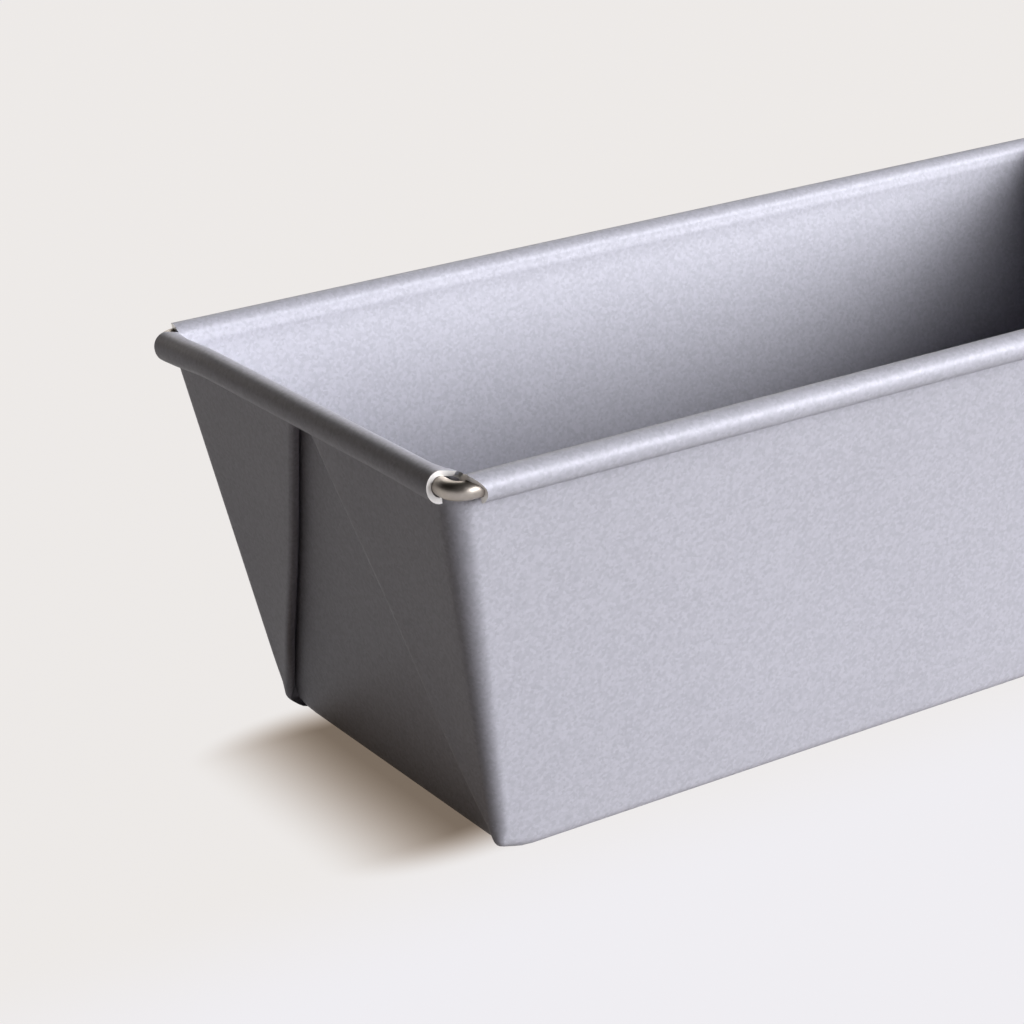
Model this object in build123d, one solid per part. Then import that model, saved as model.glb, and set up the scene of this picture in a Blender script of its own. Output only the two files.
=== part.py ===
from build123d import *
import math
import os

# Mini loaf pan: one folded blank of coated steel, with its edge rolled round one wire.
# X runs along the pan, Y across it, Z up from the table. The origin is the middle of the base.

# Driving dimensions
height = 57.0
base_length = 142.0
base_width = 58.5
sheet = 0.7
wire_diameter = 2.4

# Outward run of each wall for one unit of height
side_slope_share = 0.162
end_slope_share = 0.174

# Bends between the base and the walls, to the outside of the sheet
base_bend_radius = 1.8

# Upright corner bends, to the outside of the sheet, where they start and at the rim
corner_root_radius = 1.9
corner_top_radius = 3.4

# Gussets: air between the pressed layers, how far the hem starts from the corner, the
# narrowest flat between the two bends of a layer, and the least room between two tips
fold_gap = 0.1
hem_offset = 0.2
least_flat = 0.1
tip_gap = 4.4

# Rolled rim: play round the wire, how far round it the sheet goes, and the corner notches
wire_play = 0.05
side_curl_degrees = 310
end_curl_degrees = 250
wire_bend_radius = 3.0
end_curl_setback = 3.4
side_curl_setback = 3.3
notch_edge_play = 0.12
wire_butt_gap = 0.3

# One overrun serves every cut
overrun = 5.0

layer_step = sheet + fold_gap
stack_depth = layer_step * 2
hem_radius = layer_step / 2 + sheet / 2
slot_radius = fold_gap / 2
curl_inner_radius = wire_diameter / 2 + wire_play
# Middle of a quarter turn, along each axis, for a radius of one
diagonal_share = math.sqrt(0.5)


def wall_cosine(slope_share):
    """Cosine of a wall's lean from upright."""
    return 1 / math.hypot(1, slope_share)


def curl_outer_radius(slope_share):
    """Outside radius of a curl whose sheet leaves the wall in one smooth line."""
    return curl_inner_radius + sheet * wall_cosine(slope_share)


wire_height = height - curl_outer_radius(side_slope_share)
lip_height = wire_height - curl_inner_radius


def side_face(z):
    """Outside face of a long wall, from the pan's middle plane, at a height."""
    return base_width / 2 + side_slope_share * z


def flap_face(z):
    """Outside face of a gusset, from the pan's middle plane, at a height."""
    return base_length / 2 + end_slope_share * z


def end_face(z):
    """Outside face of an end wall, which lies two layers inside the gussets."""
    return flap_face(z) - stack_depth


def hem_slope():
    """How fast the hem leaves a long wall's outside face, for one unit of height.

    The web between two walls is what their leans leave of the blank's square corner, and
    the hem halves it.
    """
    end_lean = math.atan(side_slope_share * wall_cosine(end_slope_share))
    side_lean = math.atan(end_slope_share * wall_cosine(side_slope_share))
    half_web = (math.pi / 2 - end_lean - side_lean) / 2
    return math.tan(half_web - end_lean) / wall_cosine(end_slope_share) + side_slope_share


hem_slope_share = hem_slope()
# Below this height the fold is too short for its bends, and its layers are pinched solid
pinch_height = (corner_root_radius + hem_radius + least_flat - hem_offset) / hem_slope_share


def hem_inset(z):
    """Distance of the hem from a long wall's outside face, at a height."""
    return hem_offset + hem_slope_share * z


def corner_radius(z):
    """Outside radius of the upright corner bend, which opens towards the rim."""
    rise_share = (z - pinch_height) / (wire_height - pinch_height)
    return corner_root_radius + (corner_top_radius - corner_root_radius) * rise_share


def fold_shift(z):
    """How far the fold beside an end wall sits into the corner, inside the upright bend."""
    reach = corner_radius(z) - sheet - hem_radius - slot_radius
    across = corner_radius(z) - (sheet + layer_step * 3) / 2
    return math.sqrt(max(reach ** 2 - across ** 2, 0))


# Axis of the wire above the outside faces of the walls at wire height
wire_side = side_face(wire_height) + curl_inner_radius / wall_cosine(side_slope_share)
wire_end = end_face(wire_height) + curl_inner_radius / wall_cosine(end_slope_share)


def folded_path(z, depth):
    """Edges along the folded sheet of the +X +Y quarter, at one height.

    depth 0 follows the outside of the sheet and depth sheet follows the cavity side. The
    path goes from the middle of the long wall, round the upright bend, out along the
    gusset to its hem and back, and round the fold to the middle of the end wall.
    """
    side = side_face(z) - depth
    flap = flap_face(z) - depth
    bend = corner_radius(z)
    bend_x = flap_face(z) - bend
    bend_y = side_face(z) - bend
    bend_reach = (bend - depth) * diagonal_share
    hem_y = side_face(z) - hem_inset(z) + hem_radius
    inner_flap = flap_face(z) - sheet - layer_step + depth
    end = end_face(z) - depth
    hem_x = (flap + inner_flap) / 2
    hem_turn = (flap - inner_flap) / 2
    fold_x = (inner_flap + end) / 2
    fold_turn = (inner_flap - end) / 2
    fold_y = bend_y + fold_shift(z)
    bend_middle = (bend_x + bend_reach, bend_y + bend_reach, z)
    return [
        Line((0, side, z), (bend_x, side, z)),
        ThreePointArc((bend_x, side, z), bend_middle, (flap, bend_y, z)),
        Line((flap, bend_y, z), (flap, hem_y, z)),
        ThreePointArc((flap, hem_y, z), (hem_x, hem_y - hem_turn, z), (inner_flap, hem_y, z)),
        Line((inner_flap, hem_y, z), (inner_flap, fold_y, z)),
        ThreePointArc((inner_flap, fold_y, z), (fold_x, fold_y + fold_turn, z), (end, fold_y, z)),
        Line((end, fold_y, z), (end, 0, z)),
    ]


def folded_section(z):
    """Closed outline of the folded sheet of the +X +Y quarter, at one height."""
    outside = folded_path(z, 0)
    cavity = folded_path(z, sheet)
    middle_of_side = Line(outside[0] @ 0, cavity[0] @ 0)
    middle_of_end = Line(outside[-1] @ 1, cavity[-1] @ 1)
    return Wire(outside + [middle_of_end] + cavity[::-1] + [middle_of_side])


def ruled(outlines):
    """Solid between level outlines, straight from each to the next."""
    return Solid.make_loft(outlines, ruled=True)


def gusset_room(low, high, inner_y, outer_y):
    """Block outside an end wall, parted from it along the air gap under the gusset."""
    far_x = flap_face(height) + overrun
    outlines = []
    for z in (low, high):
        x = end_face(z) + slot_radius
        corners = [(x, inner_y, z), (far_x, inner_y, z), (far_x, outer_y, z), (x, outer_y, z)]
        outlines.append(Wire.make_polygon(corners))
    return ruled(outlines)


def folded_walls():
    """The four walls and the layered gussets, from the pinch to wire height."""
    corner = ruled([folded_section(z) for z in (pinch_height, wire_height)])
    # On a tall or narrow pan the tips of two gussets would cross, so they are trimmed apart
    corner = corner - gusset_room(0, height, -base_width, tip_gap / 2)
    corner = corner - notch()
    walls = corner
    for other in four_ways(corner)[1:]:
        walls = walls + other
    return walls


def four_ways(piece):
    """The piece and its mirror images at the other three corners."""
    pair = [piece, piece.mirror(Plane.YZ)]
    return pair + [each.mirror(Plane.XZ) for each in pair]


def notch():
    """What is cut away above the lip at a corner, clear of the wire's bend."""
    corner_x = wire_end - wire_bend_radius + notch_edge_play
    corner_y = wire_side - wire_bend_radius + notch_edge_play
    far_x = flap_face(height) + overrun
    far_y = side_face(height) + overrun
    low = lip_height - notch_edge_play
    corner_block = Box(far_x - corner_x, far_y - corner_y, overrun, align=(Align.MIN, Align.MIN, Align.MIN))
    return Pos(corner_x, corner_y, low) * corner_block + gusset_room(low, low + overrun, -base_width, far_y)


def tapered_block(inset, floor, top):
    """Block under the four wall planes, moved in by a level distance."""
    outlines = []
    for z in (floor, top):
        x = end_face(z) - inset
        y = side_face(z) - inset
        outlines.append(Wire.make_polygon([(-x, -y, z), (x, -y, z), (x, y, z), (-x, y, z)]))
    return ruled(outlines)


def rounded_tray(inset, floor, top, radius):
    """Tapered block with its upright edges and its bottom edges rounded."""
    block = tapered_block(inset, floor, top)
    uprights = [e for e in block.edges() if e.bounding_box().size.Z > (top - floor) / 2]
    bottom = block.faces().sort_by(Axis.Z)[0].edges()
    return block.fillet(radius, uprights + list(bottom))


# Pinched root of a gusset: the heights of its outlines, and how far each bend has closed
root_height_shares = (1.0, 0.45, 0.2, 0.07)
root_bend_shares = (1.0, 0.62, 0.4, 0.3)
root_hem_shares = (1.0, 0.7, 0.45, 0.3)
root_inside_run = 3.5


def gusset_root():
    """Solid foot of the +X +Y gusset, where its layers are pinched together."""
    outlines = []
    for height_share, bend_share, hem_share in zip(root_height_shares, root_bend_shares, root_hem_shares):
        z = pinch_height * height_share
        # The bottom bend draws the outside faces in below its own radius
        below = max(base_bend_radius - z, 0)
        tuck = base_bend_radius - math.sqrt(base_bend_radius ** 2 - below ** 2)
        side = side_face(z) - tuck
        flap = flap_face(z) - tuck
        bend = corner_root_radius * bend_share
        hem = hem_radius * hem_share
        bend_x = flap - bend
        bend_y = side - bend
        hem_y = bend_y - least_flat * height_share
        inner = flap - hem * 2
        inside = end_face(z) - root_inside_run
        arc_middle = (bend_x + bend * diagonal_share, bend_y + bend * diagonal_share, z)
        outlines.append(Wire([
            Line((inside, side, z), (bend_x, side, z)),
            ThreePointArc((bend_x, side, z), arc_middle, (flap, bend_y, z)),
            Line((flap, bend_y, z), (flap, hem_y, z)),
            ThreePointArc((flap, hem_y, z), (flap - hem, hem_y - hem, z), (inner, hem_y, z)),
            Line((inner, hem_y, z), (inner, bend_y, z)),
            Line((inner, bend_y, z), (inside, bend_y, z)),
            Line((inside, bend_y, z), (inside, side, z)),
        ]))
    return ruled(outlines)


def curl(slope_share, axis_out, half_run, sweep_degrees):
    """Rolled edge of one wall, along X at +Y, from wire height round the wire to its lip."""
    cosine = wall_cosine(slope_share)
    outer = curl_outer_radius(slope_share)
    start = math.pi - math.atan(slope_share)
    end = start - math.radians(sweep_degrees)
    middle = (start + end) / 2

    def at(radius, angle):
        return (0, axis_out + radius * math.cos(angle), wire_height + radius * math.sin(angle))

    inner = curl_inner_radius
    inner_foot = (0, axis_out - inner / cosine, wire_height)
    outer_foot = (0, axis_out - outer / cosine, wire_height)
    profile = Wire([
        Line(outer_foot, at(outer, start)),
        ThreePointArc(at(outer, start), at(outer, middle), at(outer, end)),
        Line(at(outer, end), at(inner, end)),
        ThreePointArc(at(inner, end), at(inner, middle), at(inner, start)),
        Line(at(inner, start), inner_foot),
        Line(inner_foot, outer_foot),
    ])
    run = Solid.extrude(Face(profile), Vector(half_run * 2, 0, 0))
    return Pos(-half_run, 0, 0) * run


def pan_body():
    """The folded blank: tray, gusset roots, layered walls and rolled rim."""
    tray = rounded_tray(0, 0, pinch_height, base_bend_radius)
    hollow = rounded_tray(sheet, sheet, pinch_height + sheet, base_bend_radius - sheet)
    lower = tray
    for root in four_ways(gusset_root()):
        lower = lower + root
    lower = lower - hollow
    walls = folded_walls()
    side_curl = curl(side_slope_share, wire_side, wire_end - side_curl_setback, side_curl_degrees)
    end_curl = curl(end_slope_share, wire_end, wire_side - end_curl_setback, end_curl_degrees)
    end_curl = Rot(0, 0, -90) * end_curl
    body = lower + walls
    body = body + side_curl + side_curl.mirror(Plane.XZ)
    body = body + end_curl + end_curl.mirror(Plane.YZ)
    return body


def rim_wire():
    """Round wire bent to a rounded rectangle, with its two ends butted in a long curl."""
    x = wire_end
    y = wire_side
    z = wire_height
    start = Vector(wire_butt_gap / 2, -y, z)
    finish = Vector(-wire_butt_gap / 2, -y, z)
    corners = [(x, -y, z), (x, y, z), (-x, y, z), (-x, -y, z)]
    path = FilletPolyline(start, *corners, finish, radius=wire_bend_radius)
    section = Plane(origin=start, z_dir=(1, 0, 0)) * Circle(wire_diameter / 2)
    return sweep(section, path=path)


os.makedirs("parts", exist_ok=True)
export_step(pan_body(), "parts/pan_body.step")
export_step(rim_wire(), "parts/rim_wire.step")
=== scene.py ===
import math

import bmesh
import bpy
import numpy as np
from mathutils import Matrix, Vector


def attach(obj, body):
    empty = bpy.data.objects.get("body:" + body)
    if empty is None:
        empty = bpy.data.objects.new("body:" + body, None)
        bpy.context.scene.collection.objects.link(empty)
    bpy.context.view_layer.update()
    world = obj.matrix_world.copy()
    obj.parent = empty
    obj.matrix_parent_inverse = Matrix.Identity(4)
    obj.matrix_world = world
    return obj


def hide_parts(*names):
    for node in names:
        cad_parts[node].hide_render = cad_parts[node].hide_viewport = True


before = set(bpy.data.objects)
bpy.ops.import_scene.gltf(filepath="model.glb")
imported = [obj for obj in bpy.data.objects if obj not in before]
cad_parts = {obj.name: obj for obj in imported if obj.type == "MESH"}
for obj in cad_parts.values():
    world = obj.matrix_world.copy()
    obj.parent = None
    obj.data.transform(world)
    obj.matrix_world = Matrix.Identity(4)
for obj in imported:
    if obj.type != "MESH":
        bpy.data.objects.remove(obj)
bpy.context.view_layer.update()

# Folded pan body
# One blank of coated sheet steel, folded into base, walls and four corner gussets, which are
# pressed double against the outside of the end walls. Its top edge is rolled round a wire.

# Sizes are in millimetres until the mesh is written
millimetre = 0.001
pan_height = 57.0
base_length = 142.0
base_width = 58.5
sheet = 0.7
wire_diameter = 2.4
wire_play = 0.05
side_slope = 0.162
end_slope = 0.174
base_bend_radius = 1.8
corner_root_radius = 1.9
corner_top_radius = 3.4
fold_gap = 0.1
hem_offset = 0.2
least_flat = 0.1
side_curl_degrees = 310
end_curl_degrees = 250
side_curl_setback = 3.3
end_curl_setback = 3.4
notch_play = 0.12

layer_step = sheet + fold_gap
hem_radius = (layer_step + sheet) / 2
slot_radius = fold_gap / 2
curl_inner = wire_diameter / 2 + wire_play


def wall_cosine(slope):
    return 1 / math.hypot(1, slope)


def curl_outer(slope):
    return curl_inner + sheet * wall_cosine(slope)


def side_face(z):
    """How far out the outside of a long wall stands at a height."""
    return base_width / 2 + side_slope * z


def flap_face(z):
    """How far out the outside of a gusset stands at a height."""
    return base_length / 2 + end_slope * z


def end_face(z):
    """How far out the outside of an end wall stands, inside the two layers of its gussets."""
    return flap_face(z) - layer_step * 2


# A hem halves the web of metal between two walls. Its folds are pinched together below the
# height at which they would have no flat between them
end_lean = math.atan(side_slope * wall_cosine(end_slope))
side_lean = math.atan(end_slope * wall_cosine(side_slope))
half_web = (math.pi / 2 - end_lean - side_lean) / 2
hem_slope = math.tan(half_web - end_lean) / wall_cosine(end_slope) + side_slope
pinch_height = (corner_root_radius + hem_radius + least_flat - hem_offset) / hem_slope
wire_height = pan_height - curl_outer(side_slope)
notch_height = wire_height - curl_inner - notch_play
wire_side = side_face(wire_height) + curl_inner / wall_cosine(side_slope)
wire_end = end_face(wire_height) + curl_inner / wall_cosine(end_slope)


def corner_radius(z):
    rise = (z - pinch_height) / (wire_height - pinch_height)
    return corner_root_radius + (corner_top_radius - corner_root_radius) * rise


def fold_shift(z):
    """How far towards the long wall the inner fold lies from the centre of the corner's bend."""
    reach = corner_radius(z) - sheet - hem_radius - slot_radius
    across = corner_radius(z) - (sheet + layer_step * 3) / 2
    return math.sqrt(max(reach ** 2 - across ** 2, 0))


def even_shares(count):
    """Where each of a stretch's equal parts starts, as a share of the stretch."""
    return np.linspace(0, 1, count + 1)[:-1]


# Columns of the sheet's mesh in one quarter, from the middle of a long wall to the middle of
# an end wall, as shares of each stretch of the folded path
side_cut_share = (wire_end - side_curl_setback) / (flap_face(wire_height) - corner_top_radius)
column_shares = {
    "side": [0, 0.1, 0.2, 0.3, 0.4, 0.5, 0.6, 0.7, 0.78, 0.85, 0.9, 0.94, 0.966, 0.982,
             side_cut_share],
    "bend": even_shares(16),
    "outer": even_shares(12),
    "hem": even_shares(12),
    "inner": even_shares(10),
    "fold": even_shares(14),
    "end": [*even_shares(12), 1],
}
columns = [(stretch, share) for stretch, shares in column_shares.items() for share in shares]

# Pressed flat, the hems are squarer than a round fold, by the power of their curve, and have
# sprung a little off the end wall again
hem_power = 3.0
hem_spring = 0.3
hem_spring_rise = 12.0


def eased(share):
    share = min(max(share, 0), 1)
    return share * share * (3 - 2 * share)


def on_line(start, finish, share):
    return np.array(start) + (np.array(finish) - np.array(start)) * share


def on_arc(centre, radius_x, radius_y, degrees, power=2.0):
    """A point of an ellipse, or of a squarer curve where the power is higher."""
    across, up = math.cos(math.radians(degrees)), math.sin(math.radians(degrees))
    reach = (abs(across) ** power + abs(up) ** power) ** (-1 / power)
    return np.array([centre[0] + radius_x * reach * across, centre[1] + radius_y * reach * up])


def outline_points(corner):
    """One point for each column, from the named lines of a corner's plan."""
    side, flap, inner, end = corner["side"], corner["flap"], corner["inner"], corner["end"]
    bend_x, bend_y = corner["bend_x"], corner["bend_y"]
    hem_y, fold_y = corner["hem_y"], corner["fold_y"]
    half_hem = (flap - inner) / 2
    half_fold = (inner - end) / 2
    points = []
    for stretch, share in columns:
        if stretch == "side":
            points.append(on_line((0, side), (bend_x, side), share))
        elif stretch == "bend":
            points.append(on_arc((bend_x, bend_y), flap - bend_x, side - bend_y, 90 - 90 * share))
        elif stretch == "outer":
            points.append(on_line((flap, bend_y), (flap, hem_y), share))
        elif stretch == "hem":
            points.append(on_arc((inner + half_hem, hem_y), half_hem, half_hem, -180 * share, hem_power))
        elif stretch == "inner":
            points.append(on_line((inner, hem_y), (inner, fold_y), share))
        elif stretch == "fold":
            points.append(on_arc((end + half_fold, fold_y), half_fold, corner["bulge"], 180 * share))
        else:
            points.append(on_line((end, fold_y), (end, 0), share))
    return np.array(points)


def folded_outline(z, depth, hem_lean):
    """The folded sheet in plan above its pinched root, on the outside or the cavity side."""
    bend = corner_radius(z)
    inner = flap_face(z) - sheet - layer_step + depth
    end = end_face(z) - depth
    points = outline_points({
        "side": side_face(z) - depth,
        "flap": flap_face(z) - depth,
        "bend_x": flap_face(z) - bend,
        "bend_y": side_face(z) - bend,
        "hem_y": side_face(z) - hem_offset - (hem_slope + hem_lean) * z + hem_radius,
        "inner": inner,
        "end": end,
        "fold_y": side_face(z) - bend + fold_shift(z),
        "bulge": (inner - end) / 2,
    })
    spring = hem_spring * eased((z - pinch_height) / hem_spring_rise)
    for k, (stretch, share) in enumerate(columns):
        free = {"outer": share ** 2, "hem": 1, "inner": (1 - share) ** 2}.get(stretch, 0)
        points[k][0] += spring * free
    return points


def bottom_tuck(z, floor, radius, slope):
    """How far the bend at the base draws a wall in from its own plane, at a height."""
    rise = z - floor
    if rise >= radius * (1 - slope * wall_cosine(slope)):
        return 0
    plane_run = radius / wall_cosine(slope) + slope * (rise - radius)
    return plane_run - math.sqrt(max(radius ** 2 - (radius - rise) ** 2, 0))


# Pinched root of a gusset, by share of its height: how far its bends have closed
root_heights = [0, 0.07, 0.2, 0.45, 1.0]
root_bends = [0.3, 0.3, 0.4, 0.62, 1.0]
root_hems = [0.3, 0.3, 0.45, 0.7, 1.0]


def root_outside(z, hem_lean):
    """Outside of the sheet below the pinch: the folds melt into one small ear."""
    rise = z / pinch_height
    side = side_face(z) - bottom_tuck(z, 0, base_bend_radius, side_slope)
    tuck = bottom_tuck(z, 0, base_bend_radius, end_slope)
    flap = flap_face(z) - tuck
    end = end_face(z) - tuck
    bend = corner_root_radius * np.interp(rise, root_heights, root_bends)
    hem = hem_radius * np.interp(rise, root_heights, root_hems)
    hem_y = side - bend - least_flat * rise - hem_lean * z * rise
    layered = outline_points({
        "side": side,
        "flap": flap,
        "bend_x": flap - bend,
        "bend_y": side - bend,
        "hem_y": hem_y,
        "inner": flap - hem * 2,
        "end": end,
        "fold_y": side - bend + fold_shift(pinch_height) * rise,
        "bulge": slot_radius,
    })
    ear = layered.copy()
    back = [k for k, (stretch, share) in enumerate(columns)
            if (stretch == "hem" and share > 0.5) or stretch in ("inner", "fold")]
    for place, k in enumerate(back):
        ear[k] = on_line((flap - hem, hem_y - hem), (end, hem_y - hem), (place + 1) / len(back))
    for k, (stretch, share) in enumerate(columns):
        if stretch == "end":
            ear[k] = on_line((end, hem_y - hem), (end, 0), share)
    return ear + (layered - ear) * eased(rise)


def root_cavity(z, hem_lean):
    """Cavity side of the sheet below the pinch: the crevice closes to a plain round corner."""
    floor_radius = base_bend_radius - sheet
    side = side_face(z) - sheet - bottom_tuck(z, sheet, floor_radius, side_slope)
    end = end_face(z) - sheet - bottom_tuck(z, sheet, floor_radius, end_slope)
    rise = min(z - sheet, floor_radius)
    radius = math.sqrt(max(floor_radius ** 2 - (floor_radius - rise) ** 2, 0))
    centre = (end - radius, side - radius)
    turned = {"bend": (0, 45), "outer": (45, 45), "hem": (45, 45), "inner": (45, 45), "fold": (45, 90)}
    plain = []
    for stretch, share in columns:
        if stretch == "side":
            plain.append(on_line((0, side), (centre[0], side), share))
        elif stretch == "end":
            plain.append(on_line((end, centre[1]), (end, 0), share))
        else:
            first, last = turned[stretch]
            plain.append(on_arc(centre, radius, radius, 90 - first - (last - first) * share))
    plain = np.array(plain)
    creased = folded_outline(pinch_height, sheet, hem_lean)
    end_flare = flap_face(z) - flap_face(pinch_height)
    side_flare = side_face(z) - side_face(pinch_height)
    for k, (stretch, share) in enumerate(columns):
        if stretch == "side":
            creased[k] += (end_flare * share, side_flare)
        elif stretch == "end":
            creased[k] += (end_flare, side_flare * (1 - share))
        else:
            creased[k] += (end_flare, side_flare)
    tangent = sheet + floor_radius
    return plain + (creased - plain) * eased((z - tangent) / (pinch_height - tangent))


# Rows of the sheet's mesh, from the flat of the base to the lip of the curl. Each row has a
# height on the outside and one on the cavity side
root_row_count = 8
wall_row_count = 30
notch_row_count = 4
curl_row_count = 46
bend_turns = [math.radians(a) for a in range(0, 90, 10)]
bottom_rows = [(base_bend_radius * (1 - math.cos(a)),
                sheet + (base_bend_radius - sheet) * (1 - math.cos(a))) for a in bend_turns]
root_rows = [tuple(z + (pinch_height - z) * share for z in bottom_rows[-1])
             for share in even_shares(root_row_count + 1)[1:]]
wall_rows = np.linspace(pinch_height, notch_height, wall_row_count)
notch_rows = np.linspace(notch_height, wire_height, notch_row_count + 1)[1:]

# Once round the pan: the signs of x and y in a quarter, and the column in it
quarter = len(columns)
around = [(1, 1, k) for k in range(quarter)]
around += [(1, -1, k) for k in range(quarter - 2, -1, -1)]
around += [(-1, -1, k) for k in range(1, quarter)]
around += [(-1, 1, k) for k in range(quarter - 2, 0, -1)]

# The photographed end was folded a little off centre: its hems lean towards one side
hem_lean_near = -0.028
hem_lean_far = 0.017
hem_leans = {(1, 1): 0, (1, -1): 0, (-1, -1): hem_lean_near, (-1, 1): hem_lean_far}

# Rolling and pressing draw the middle of each wall in by a hair, from just above its foot to its
# notches and from corner to corner. Only metal close to the wall's face follows, by its share of
# the way out: from none to all of it over a stretch
side_bow = 0.28
end_bow = 0.35
bow_foot = 2.0
side_bow_inset = 4.0
end_bow_inset = 3.0
side_bow_from = 0.5
side_bow_over = 0.4
end_bow_from = 0.6
end_bow_over = 0.3
# The corners of the foot turn up where the blank was creased, and the stretch that this takes
foot_lift = 1.0
foot_lift_reach = 5.0
foot_lift_height = 8.0


def foot_lift_at(x, y, z):
    """How far the upturned corner of the foot lifts a point of the sheet."""
    away = math.hypot(abs(x) - flap_face(0), abs(y) - side_face(0))
    return foot_lift * eased(1 - away / foot_lift_reach) * max(1 - z / foot_lift_height, 0)


def pressed(point):
    """Draws walls in and corners of the foot up, as rolling and pressing have, never the rim."""
    x, y, z = point
    rise = (z - bow_foot) / (notch_height - bow_foot)
    swell = math.sin(math.pi * min(max(rise, 0), 1)) ** 2
    on_side = eased((abs(y) / side_face(z) - side_bow_from) / side_bow_over)
    on_end = eased((abs(x) / flap_face(z) - end_bow_from) / end_bow_over)
    along = max(1 - (x / (end_face(z) - side_bow_inset)) ** 2, 0)
    across = max(1 - (y / (side_face(z) - end_bow_inset)) ** 2, 0)
    y -= math.copysign(side_bow * along * swell * on_side, y)
    x -= math.copysign(end_bow * across * swell * on_end, x)
    return (x, y, z + foot_lift_at(x, y, z))


def ring(outline_of, z):
    """Mirrors the outline of each quarter, with its own hem, all the way round the pan."""
    outlines = {corner: outline_of(lean) for corner, lean in hem_leans.items()}
    points = [(sx * outlines[sx, sy][k][0], sy * outlines[sx, sy][k][1], z) for sx, sy, k in around]
    return [pressed(point) for point in points]


base_flat_inset = 1.0


def flat_ring(points, level):
    """The ring inside the base's bends, so that the flat of the base stays flat."""
    far_x = max(abs(p[0]) for p in points) - layer_step * 2 - base_flat_inset
    far_y = max(abs(p[1]) for p in points) - base_flat_inset * 2
    return [(min(max(x, -far_x), far_x), min(max(y, -far_y), far_y), level) for x, y, z in points]


outside_rows = []
cavity_rows = []
for z_out, z_in in bottom_rows + root_rows:
    outside_rows.append(ring(lambda lean: root_outside(z_out, lean), z_out))
    cavity_rows.append(ring(lambda lean: root_cavity(z_in, lean), z_in))
for z in wall_rows:
    outside_rows.append(ring(lambda lean: folded_outline(z, 0, lean), z))
    cavity_rows.append(ring(lambda lean: folded_outline(z, sheet, lean), z))
outside_rows.insert(0, flat_ring(outside_rows[0], 0))
cavity_rows.insert(0, flat_ring(cavity_rows[0], sheet))
closed_rows = len(outside_rows)

# Above the notches only the rolled strips go on: which columns each strip keeps, and where
# they lie along it
side_strip = {k: share * (flap_face(wire_height) - corner_top_radius)
              for k, (stretch, share) in enumerate(columns) if stretch == "side"}
side_strip_end = max(side_strip.values())
end_strip_end = wire_side - end_curl_setback
fold_y_top = side_face(wire_height) - corner_top_radius + fold_shift(wire_height)
end_strip = {}
for k, (stretch, share) in enumerate(columns):
    if stretch == "fold" and share >= 0.5:
        end_strip[k] = end_strip_end - (end_strip_end - fold_y_top) * (share - 0.5) * 2
    elif stretch == "end":
        end_strip[k] = fold_y_top * (1 - share)

# Each strip keeps a small tab by its wall, which nearly meets the next strip's tab. On a long
# wall it goes up to the top of the curl and slants back over its outside, and the curl is cut
# back again below. On an end wall it stops soon after the curl begins
tab_reach = 1.6
tab_run = 2.6
side_tab_end = math.radians(180)
side_tab_slant = math.radians(95)
side_cut_back = 0.8
side_cut_start = math.radians(250)
side_cut_slant = math.radians(40)
end_tab_end = math.radians(35)
end_tab_slant = math.radians(25)
# The end curls are rolled a little further round than drawn and open towards their cuts. Their
# crowns reach inwards there, are squarer and fall away evenly from the top
end_curl_extra_degrees = 14
end_curl_opening = 0.16
end_curl_opening_run = 12.0
crown_reach = 0.9
crown_fall = 0.27
crown_run = 1.2
crown_power = 5.0
round_power = 2.0
# The one at the far left corner runs further along, opens more and hangs lower
far_left_corner = (-1, 1)
far_left_run_on = 2.1
far_left_run_on_stretch = 9.0
far_left_opening = 0.20
far_left_drop = 0.5


def near_cut(along, strip_end, stretch):
    """How near a place along a strip is to its end: 0 before the stretch, and 1 at the cut."""
    return eased((along - strip_end) / stretch + 1)


def strip_row(side_section, end_section_of, from_row, ease):
    """One row of the four strips, blended from the row at the notches. A section is the place
    out, the height and the share of the tab. On an end strip it depends on the nearness to the
    crown and on how far the curl has opened."""
    row = []
    for place, (sx, sy, k) in enumerate(around):
        if k in side_strip:
            out, z, tab_share = side_section
            reach = tab_reach * near_cut(side_strip[k], side_strip_end, tab_run) * tab_share
            target = (sx * (side_strip[k] + reach), sy * out)
        elif k in end_strip:
            along = end_strip[k]
            far_left = (sx, sy) == far_left_corner
            crown = near_cut(along, end_strip_end, crown_run)
            loose = near_cut(along, end_strip_end, end_curl_opening_run)
            opening = far_left_opening if far_left else end_curl_opening
            out, z, tab_share = end_section_of(crown, loose * opening)
            reach = tab_reach * near_cut(along, end_strip_end, tab_run) * tab_share
            if far_left:
                reach = far_left_run_on * near_cut(along, end_strip_end, far_left_run_on_stretch)
                z -= far_left_drop * loose * ease
            target = (sx * out, sy * (along + reach))
        else:
            row.append(None)
            continue
        start_x, start_y = from_row[place][:2]
        row.append((start_x + (target[0] - start_x) * ease, start_y + (target[1] - start_y) * ease, z))
    return row


def curl_point(axis_out, radius, slope, turned, square, opening):
    """A point of a curl's section that has turned by an angle. At a crown the quarter between
    wall and top is squarer, reaches inwards and falls away evenly from the top. An open curl
    hangs lower below its wire."""
    angle = math.pi - math.atan(slope) - turned
    across, up = math.cos(angle), math.sin(angle)
    if up < 0:
        return (axis_out + radius * across, wire_height + radius * up * (1 + opening))
    if across >= 0:
        return (axis_out + radius * across, wire_height + radius * up)
    power = round_power + (crown_power - round_power) * square
    reach = radius * (abs(across) ** power + up ** power) ** (-1 / power)
    inwards = -across * (reach + crown_reach * square)
    above_fall = max(reach * up - radius + crown_fall * inwards, 0)
    return (axis_out - inwards, wire_height + reach * up - above_fall * square)


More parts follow.
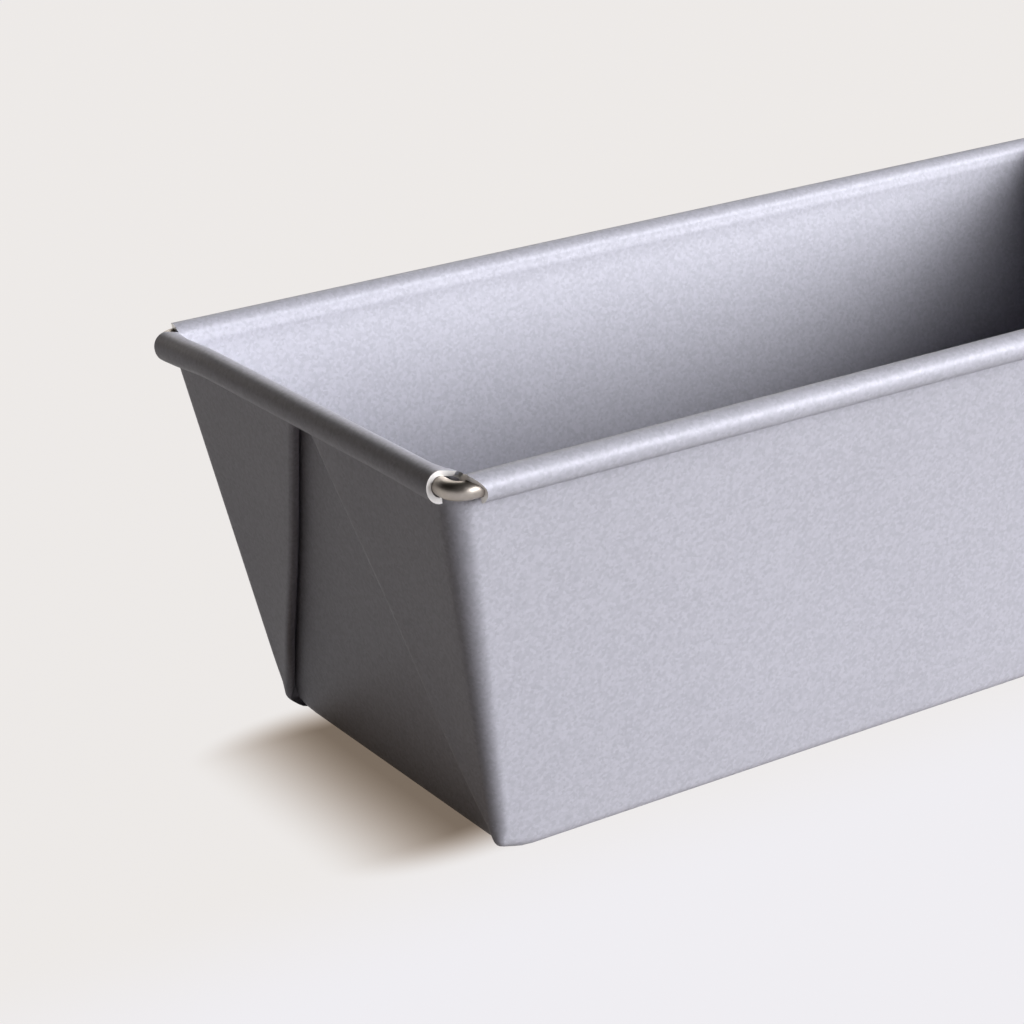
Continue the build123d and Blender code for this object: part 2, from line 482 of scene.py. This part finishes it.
for z in notch_rows:
    ease = (z - notch_height) / (wire_height - notch_height)
    side_out = side_face(wire_height) + side_slope * (z - wire_height)
    end_out = end_face(wire_height) + end_slope * (z - wire_height)
    for rows, depth in ((outside_rows, 0), (cavity_rows, sheet)):
        rows.append(strip_row((side_out - depth, z, 1),
                              lambda crown, opening: (end_out - depth - crown_reach * crown, z, 1),
                              rows[closed_rows - 1], ease))
for share in np.linspace(0, 1, curl_row_count):
    side_turn = math.radians(side_curl_degrees * share)
    end_turn = math.radians((end_curl_degrees + end_curl_extra_degrees) * share)
    side_tab = eased((side_tab_end - side_turn) / side_tab_slant)
    side_tab -= side_cut_back * eased((side_turn - side_cut_start) / side_cut_slant)
    end_tab = eased((end_tab_end - end_turn) / end_tab_slant)
    for rows, side_radius, end_radius in (
            (outside_rows, curl_inner, curl_inner),
            (cavity_rows, curl_outer(side_slope), curl_outer(end_slope))):
        rows.append(strip_row(
            (*curl_point(wire_side, side_radius, side_slope, side_turn, 0, 0), side_tab),
            lambda crown, opening: (*curl_point(wire_end, end_radius, end_slope, end_turn,
                                                crown, opening), end_tab),
            rows[closed_rows - 1], 1))

# The two skins are joined by the sheared edge wherever a cell of the mesh has no neighbour,
# except round the flat of the base, which one face closes on each skin
merge_distance = 0.002 * millimetre
sliver_length = 0.001 * millimetre
crease_degrees = 38
body_bm = bmesh.new()
outside_skin, cavity_skin = (
    [[body_bm.verts.new(Vector(p) * millimetre) if p else None for p in row] for row in rows]
    for rows in (outside_rows, cavity_rows))
edge_uses = {}
for r in range(len(outside_rows) - 1):
    for c in range(len(around)):
        d = (c + 1) % len(around)
        cell = [(r, c), (r + 1, c), (r + 1, d), (r, d)]
        if any(outside_skin[i][j] is None for i, j in cell):
            continue
        body_bm.faces.new([outside_skin[i][j] for i, j in cell])
        body_bm.faces.new([cavity_skin[i][j] for i, j in reversed(cell)])
        for a, b in zip(cell, cell[1:] + cell[:1]):
            edge = tuple(sorted((a, b)))
            edge_uses[edge] = edge_uses.get(edge, 0) + 1
for (a, b), uses in edge_uses.items():
    if uses == 1 and not (a[0] == 0 and b[0] == 0):
        sheared = body_bm.faces.new([outside_skin[a[0]][a[1]], outside_skin[b[0]][b[1]],
                                     cavity_skin[b[0]][b[1]], cavity_skin[a[0]][a[1]]])
        sheared.material_index = 1
body_bm.faces.new(outside_skin[0])
body_bm.faces.new(cavity_skin[0][::-1])
bmesh.ops.remove_doubles(body_bm, verts=body_bm.verts, dist=merge_distance)
bmesh.ops.dissolve_degenerate(body_bm, dist=sliver_length, edges=body_bm.edges)
bmesh.ops.recalc_face_normals(body_bm, faces=body_bm.faces)
# The two many-sided flats of the base stay flat
for face in body_bm.faces:
    face.smooth = len(face.verts) <= 4
body_mesh = bpy.data.meshes.new("pan_body_sheet")
body_bm.to_mesh(body_mesh)
body_bm.free()
body_mesh.set_sharp_from_angle(angle=math.radians(crease_degrees))
pan_body = bpy.data.objects.new("pan_body_sheet", body_mesh)
bpy.context.scene.collection.objects.link(pan_body)


def new_finish(name):
    """A finish, its node tree and its shader."""
    finish = bpy.data.materials.new(name)
    finish.use_nodes = True
    return finish, finish.node_tree, finish.node_tree.nodes["Principled BSDF"]


def place_on_piece(tree):
    return tree.nodes.new("ShaderNodeTexCoord").outputs["Object"]


def unevenness(tree, place, scale, detail):
    """Soft random variation, at so many waves to the metre."""
    noise = tree.nodes.new("ShaderNodeTexNoise")
    noise.inputs["Scale"].default_value = scale
    noise.inputs["Detail"].default_value = detail
    tree.links.new(place, noise.inputs["Vector"])
    return noise.outputs["Fac"]


def combined(tree, operation, first, second):
    """Two values added, multiplied or compared."""
    step = tree.nodes.new("ShaderNodeMath")
    step.operation = operation
    tree.links.new(first, step.inputs[0])
    tree.links.new(second, step.inputs[1])
    return step.outputs["Value"]


def ranged(tree, value, found, given, interpolation="LINEAR"):
    """A value brought from the range in which it is found to the one that it is given."""
    step = tree.nodes.new("ShaderNodeMapRange")
    step.interpolation_type = interpolation
    for limit, found_limit, given_limit in zip(("Min", "Max"), found, given):
        step.inputs["From " + limit].default_value = found_limit
        step.inputs["To " + limit].default_value = given_limit
    tree.links.new(value, step.inputs["Value"])
    return step.outputs["Result"]


def relief(tree, height, strength, depth):
    """The slopes of fine relief on a surface."""
    bump = tree.nodes.new("ShaderNodeBump")
    bump.inputs["Strength"].default_value = strength
    bump.inputs["Distance"].default_value = depth
    tree.links.new(height, bump.inputs["Height"])
    return bump.outputs["Normal"]


# Silver-grey baked coating: a lavender-grey lacquer full of fine metal flake. Each flake has its
# own shade and polish, and soft grain and wide faint patches lie over them
coat_colour = (0.45, 0.45, 0.505)
coat_metallic = 0.12
coat_specular = 0.08
coat_roughness = (0.52, 0.44)
flake_size = 0.42 * millimetre
grain_scale = 0.7 / flake_size
grain_detail = 3.0
speckle_found = (0.35, 1.65)
speckle_shades = (0.90, 1.10)
patch_scale = 45.0
patch_detail = 3.0
patch_found = (0.3, 0.7)
patch_shades = (0.985, 1.015)
peel_strength = 0.16
peel_depth = 0.03 * millimetre
coating, tree, shader = new_finish("silver_grey_coating")
shader.inputs["Metallic"].default_value = coat_metallic
shader.inputs["Specular IOR Level"].default_value = coat_specular
place = place_on_piece(tree)
flakes = tree.nodes.new("ShaderNodeTexVoronoi")
flakes.inputs["Scale"].default_value = 1 / flake_size
tree.links.new(place, flakes.inputs["Vector"])
flake_values = tree.nodes.new("ShaderNodeSeparateColor")
tree.links.new(flakes.outputs["Color"], flake_values.inputs["Color"])
grain = unevenness(tree, place, grain_scale, grain_detail)
patches = unevenness(tree, place, patch_scale, patch_detail)
speckle = combined(tree, "ADD", flake_values.outputs["Red"], grain)
shade = combined(tree, "MULTIPLY", ranged(tree, speckle, speckle_found, speckle_shades),
                 ranged(tree, patches, patch_found, patch_shades))
tint = tree.nodes.new("ShaderNodeVectorMath")
tint.operation = "SCALE"
tint.inputs[0].default_value = coat_colour
tree.links.new(shade, tint.inputs["Scale"])
tree.links.new(tint.outputs["Vector"], shader.inputs["Base Color"])
tree.links.new(ranged(tree, flake_values.outputs["Green"], (0, 1), coat_roughness),
               shader.inputs["Roughness"])
tree.links.new(relief(tree, grain, peel_strength, peel_depth), shader.inputs["Normal"])


steel_detail = 4.0


def mottled_steel(tree, shader, metallic, scale, shades, roughness):
    """Bare steel whose shade and polish vary finely together. It returns the variation."""
    shader.inputs["Metallic"].default_value = metallic
    mottle = unevenness(tree, place_on_piece(tree), scale, steel_detail)
    colour = tree.nodes.new("ShaderNodeValToRGB")
    for stop, stop_shade in zip(colour.color_ramp.elements, shades):
        stop.color = stop_shade
    tree.links.new(mottle, colour.inputs["Fac"])
    tree.links.new(colour.outputs["Color"], shader.inputs["Base Color"])
    tree.links.new(ranged(tree, mottle, (0, 1), roughness), shader.inputs["Roughness"])
    return mottle


# Sheared edge of the blank, where the steel shows bare at the notches and the lips
sheared_metallic = 0.7
sheared_specular = 0.3
sheared_scale = 3500.0
sheared_shades = ((0.80, 0.78, 0.76, 1), (0.95, 0.93, 0.91, 1))
sheared_roughness = (0.32, 0.55)
sheared_steel, tree, shader = new_finish("sheared_steel_edge")
mottled_steel(tree, shader, sheared_metallic, sheared_scale, sheared_shades, sheared_roughness)
shader.inputs["Specular IOR Level"].default_value = sheared_specular

body_mesh.materials.append(coating)
body_mesh.materials.append(sheared_steel)
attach(pan_body, "root")
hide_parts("pan_body")

# Rim wire
# One length of drawn steel wire, bent to a rounded rectangle and held inside the four curls.
# Its two ends butt inside a long curl. It shows bare at the four corner notches.
wire_bend_radius = 2.0
wire_butt_gap = 0.3
wire_bend_points = 28
wire_section_points = 36
wire_crease_degrees = 50
wire_corners = [(wire_butt_gap / 2, -wire_side), (wire_end, -wire_side), (wire_end, wire_side),
                (-wire_end, wire_side), (-wire_end, -wire_side), (-wire_butt_gap / 2, -wire_side)]
wire_line = bpy.data.meshes.new("rim_wire_line")
wire_line.from_pydata([Vector((x, y, wire_height)) * millimetre for x, y in wire_corners],
                      [(k, k + 1) for k in range(len(wire_corners) - 1)], [])
wire_guide = bpy.data.objects.new("rim_wire_guide", wire_line)
bpy.context.scene.collection.objects.link(wire_guide)

drawn_metallic = 1.0
drawn_scale = 1400.0
drawn_shades = ((0.34, 0.30, 0.265, 1), (0.50, 0.46, 0.415, 1))
drawn_roughness = (0.36, 0.50)
scratch_strength = 0.2
scratch_depth = 0.02 * millimetre
drawn_steel, tree, shader = new_finish("drawn_steel_wire")
mottle = mottled_steel(tree, shader, drawn_metallic, drawn_scale, drawn_shades, drawn_roughness)
tree.links.new(relief(tree, mottle, scratch_strength, scratch_depth), shader.inputs["Normal"])

wire_tree = bpy.data.node_groups.new("bent_wire", "GeometryNodeTree")
wire_tree.interface.new_socket("Geometry", in_out="INPUT", socket_type="NodeSocketGeometry")
wire_inputs = {}
for name, kind in (("Wire diameter", "NodeSocketFloat"), ("Bend radius", "NodeSocketFloat"),
                   ("Wire steel", "NodeSocketMaterial")):
    wire_inputs[name] = wire_tree.interface.new_socket(name, in_out="INPUT", socket_type=kind).identifier
wire_tree.interface.new_socket("Geometry", in_out="OUTPUT", socket_type="NodeSocketGeometry")
given = wire_tree.nodes.new("NodeGroupInput")
made = wire_tree.nodes.new("NodeGroupOutput")
to_curve = wire_tree.nodes.new("GeometryNodeMeshToCurve")
bent = wire_tree.nodes.new("GeometryNodeFilletCurve")
bent.mode = "POLY"
bent.inputs["Count"].default_value = wire_bend_points
half = wire_tree.nodes.new("ShaderNodeMath")
half.operation = "MULTIPLY"
half.inputs[1].default_value = 0.5
round_section = wire_tree.nodes.new("GeometryNodeCurvePrimitiveCircle")
round_section.inputs["Resolution"].default_value = wire_section_points
tube = wire_tree.nodes.new("GeometryNodeCurveToMesh")
tube.inputs["Fill Caps"].default_value = True
smooth = wire_tree.nodes.new("GeometryNodeSetShadeSmooth")
realize = wire_tree.nodes.new("GeometryNodeRealizeInstances")
steel = wire_tree.nodes.new("GeometryNodeSetMaterial")
for outlet, inlet in (
        (given.outputs["Geometry"], to_curve.inputs["Mesh"]),
        (to_curve.outputs["Curve"], bent.inputs["Curve"]),
        (given.outputs["Bend radius"], bent.inputs["Radius"]),
        (given.outputs["Wire diameter"], half.inputs[0]),
        (half.outputs["Value"], round_section.inputs["Radius"]),
        (bent.outputs["Curve"], tube.inputs["Curve"]),
        (round_section.outputs["Curve"], tube.inputs["Profile Curve"]),
        (tube.outputs["Mesh"], smooth.inputs["Geometry"]),
        (smooth.outputs["Geometry"], realize.inputs["Geometry"]),
        (realize.outputs["Geometry"], steel.inputs["Geometry"]),
        (given.outputs["Wire steel"], steel.inputs["Material"]),
        (steel.outputs["Geometry"], made.inputs["Geometry"])):
    wire_tree.links.new(outlet, inlet)
bending = wire_guide.modifiers.new("bent_wire", "NODES")
bending.node_group = wire_tree
bending[wire_inputs["Wire diameter"]] = wire_diameter * millimetre
bending[wire_inputs["Bend radius"]] = wire_bend_radius * millimetre
bending[wire_inputs["Wire steel"]] = drawn_steel
bpy.context.view_layer.update()
graph = bpy.context.evaluated_depsgraph_get()
wire_mesh = bpy.data.meshes.new_from_object(wire_guide.evaluated_get(graph), depsgraph=graph)
wire_mesh.name = "rim_wire_tube"
bpy.data.objects.remove(wire_guide)
wire_mesh.set_sharp_from_angle(angle=math.radians(wire_crease_degrees))
rim_wire = bpy.data.objects.new("rim_wire_tube", wire_mesh)
bpy.context.scene.collection.objects.link(rim_wire)
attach(rim_wire, "root")
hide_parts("rim_wire")

# Table
# A plain surface that the pan stands on, which takes its shadow and gives a little warm light
# back. The camera and the reflections see an even pale emission there as background. The warm
# contact shadow at the foot of each end wall is partly the real shadow on the dark table and
# partly painted shadow: the emission fades out and turns warm brown towards the pan.
table_half = 6.0
table_colour = (0.14, 0.114, 0.088, 1)
table_roughness = 0.7
background_colour = (0.88, 0.858, 0.845, 1)
table_mesh = bpy.data.meshes.new("table")
table_mesh.from_pydata([(-table_half, -table_half, 0), (table_half, -table_half, 0),
                        (table_half, table_half, 0), (-table_half, table_half, 0)], [], [(0, 1, 2, 3)])
table = bpy.data.objects.new("table", table_mesh)
bpy.context.scene.collection.objects.link(table)
table_top, tree, shader = new_finish("pale_table_top")
shader.inputs["Base Color"].default_value = table_colour
shader.inputs["Roughness"].default_value = table_roughness


def seen_by_eye(tree):
    """Camera, glossy and transmission rays, which see the pale background."""
    ray = tree.nodes.new("ShaderNodeLightPath")
    seen = ray.outputs["Is Camera Ray"]
    for kind in ("Is Glossy Ray", "Is Transmission Ray"):
        seen = combined(tree, "MAXIMUM", seen, ray.outputs[kind])
    return seen


# Painted contact shadow: the pale emission fades with the distance from a strip along the middle
# of the base, faster across the pan than along it, and leaves the real shadow on the dark table
# Painted shadow colour: the warm brown that the emission turns to at the foot of the pan
painted_shadow_colour = (0.56, 0.37, 0.21, 1)
fade_half_length = base_length / 2 * millimetre
fade_half_width = 19 * millimetre
fade_across = 2.2
fade_stretch = (-4 * millimetre, 21 * millimetre)
fade_shares = (0.24, 0.97)
place = place_on_piece(tree)
away = place
for operation, operand, outlet in (
        ("ABSOLUTE", (0, 0, 0), "Vector"),
        ("SUBTRACT", (fade_half_length, fade_half_width, 0), "Vector"),
        ("MAXIMUM", (0, 0, 0), "Vector"),
        ("MULTIPLY", (1, fade_across, 0), "Vector"),
        ("LENGTH", (0, 0, 0), "Value")):
    step = tree.nodes.new("ShaderNodeVectorMath")
    step.operation = operation
    step.inputs[1].default_value = operand
    tree.links.new(away, step.inputs[0])
    away = step.outputs[outlet]
fade = ranged(tree, away, fade_stretch, fade_shares, "SMOOTHSTEP")
# The background is a little cooler in front of the pan than behind it
front_colour = (0.90, 0.893, 0.935, 1)
front_stretch = (-15 * millimetre, -50 * millimetre)
along_table = tree.nodes.new("ShaderNodeSeparateXYZ")
tree.links.new(place, along_table.inputs["Vector"])
in_front = ranged(tree, along_table.outputs["Y"], front_stretch, (0, 1), "SMOOTHSTEP")
backing = tree.nodes.new("ShaderNodeMix")
backing.data_type = "RGBA"
backing.inputs["A"].default_value = background_colour
backing.inputs["B"].default_value = front_colour
tree.links.new(in_front, backing.inputs["Factor"])
# Painted shadow: the emission's colour turns from the background to warm brown towards the pan
painted_shadow_tint = tree.nodes.new("ShaderNodeMix")
painted_shadow_tint.data_type = "RGBA"
painted_shadow_tint.inputs["A"].default_value = painted_shadow_colour
tree.links.new(backing.outputs["Result"], painted_shadow_tint.inputs["B"])
tree.links.new(fade, painted_shadow_tint.inputs["Factor"])
pale = tree.nodes.new("ShaderNodeEmission")
tree.links.new(painted_shadow_tint.outputs["Result"], pale.inputs["Color"])
surface = tree.nodes.new("ShaderNodeMixShader")
tree.links.new(combined(tree, "MULTIPLY", fade, seen_by_eye(tree)), surface.inputs["Fac"])
tree.links.new(shader.outputs["BSDF"], surface.inputs[1])
tree.links.new(pale.outputs["Emission"], surface.inputs[2])
tree.links.new(surface.outputs["Shader"], tree.nodes["Material Output"].inputs["Surface"])
table_mesh.materials.append(table_top)

# Studio light
# One wide low softbox on the right in front of the long wall and two small warm lamps behind,
# in a dim warm room that is pale only along its horizon.
room_colour = (1.0, 0.88, 0.74, 1)
room_light = 0.016
horizon_height = 0.20
horizon_seen = 0.85
world = bpy.data.worlds.new("dim_room")
world.use_nodes = True
bpy.context.scene.world = world
tree = world.node_tree
sky = tree.nodes["Background"]
sky.inputs["Color"].default_value = room_colour
sky.inputs["Strength"].default_value = room_light
horizon = tree.nodes.new("ShaderNodeBackground")
horizon.inputs["Color"].default_value = background_colour
direction = tree.nodes.new("ShaderNodeTexCoord")
height = tree.nodes.new("ShaderNodeSeparateXYZ")
tree.links.new(direction.outputs["Generated"], height.inputs["Vector"])
band = ranged(tree, height.outputs["Z"], (0, horizon_height), (horizon_seen, 0), "SMOOTHSTEP")
room = tree.nodes.new("ShaderNodeMixShader")
tree.links.new(combined(tree, "MULTIPLY", band, seen_by_eye(tree)), room.inputs["Fac"])
tree.links.new(sky.outputs["Background"], room.inputs[1])
tree.links.new(horizon.outputs["Background"], room.inputs[2])
tree.links.new(room.outputs["Shader"], tree.nodes["World Output"].inputs["Surface"])

softboxes = {
    "key_softbox": {"azimuth": -42, "elevation": 17, "size": (2.4, 0.6), "power": 54.5,
                    "colour": (0.98, 0.98, 1.0)},
    "high_back_lamp": {"azimuth": 66, "elevation": 30, "size": (0.9, 0.4), "power": 4.2,
                       "colour": (1.0, 0.97, 0.93)},
    "low_back_lamp": {"azimuth": 94, "elevation": 10, "size": (0.9, 0.4), "power": 3.5,
                      "colour": (1.0, 0.92, 0.84)},
}
softbox_distance = 1.4
softbox_aim_height = 0.03
for name, box in softboxes.items():
    lamp = bpy.data.lights.new(name, "AREA")
    lamp.shape = "RECTANGLE"
    lamp.size, lamp.size_y = box["size"]
    lamp.energy = box["power"]
    lamp.color = box["colour"]
    azimuth = math.radians(box["azimuth"])
    elevation = math.radians(box["elevation"])
    aim = Vector((math.cos(elevation) * math.cos(azimuth),
                  math.cos(elevation) * math.sin(azimuth), math.sin(elevation)))
    lamp_object = bpy.data.objects.new(name, lamp)
    lamp_object.location = aim * softbox_distance + Vector((0, 0, softbox_aim_height))
    lamp_object.rotation_euler = aim.to_track_quat("Z", "Y").to_euler()
    bpy.context.scene.collection.objects.link(lamp_object)

# Camera
# It looks from the photograph's viewing angle, fitted to the pan's straight edges, over the near
# left corner and down the long wall.
camera_sensor = 36.0
camera_lens = 99.1
nearest_seen = 0.01
camera_place = (-0.23382, -0.30647, 0.16975)
camera_right = Vector((0.84538, -0.53193, -0.04888))
camera_up = Vector((0.2285, 0.27739, 0.93319))
camera_back = Vector((-0.48283, -0.80007, 0.35604))
camera_data = bpy.data.cameras.new("photo_camera")
camera_data.sensor_width = camera_sensor
camera_data.lens = camera_lens
camera_data.clip_start = nearest_seen
camera = bpy.data.objects.new("photo_camera", camera_data)
camera_turn = Matrix((camera_right, camera_up, camera_back)).transposed().to_4x4()
camera.matrix_world = Matrix.Translation(camera_place) @ camera_turn
bpy.context.scene.collection.objects.link(camera)
bpy.context.scene.camera = camera
bpy.context.scene.view_settings.view_transform = "Standard"
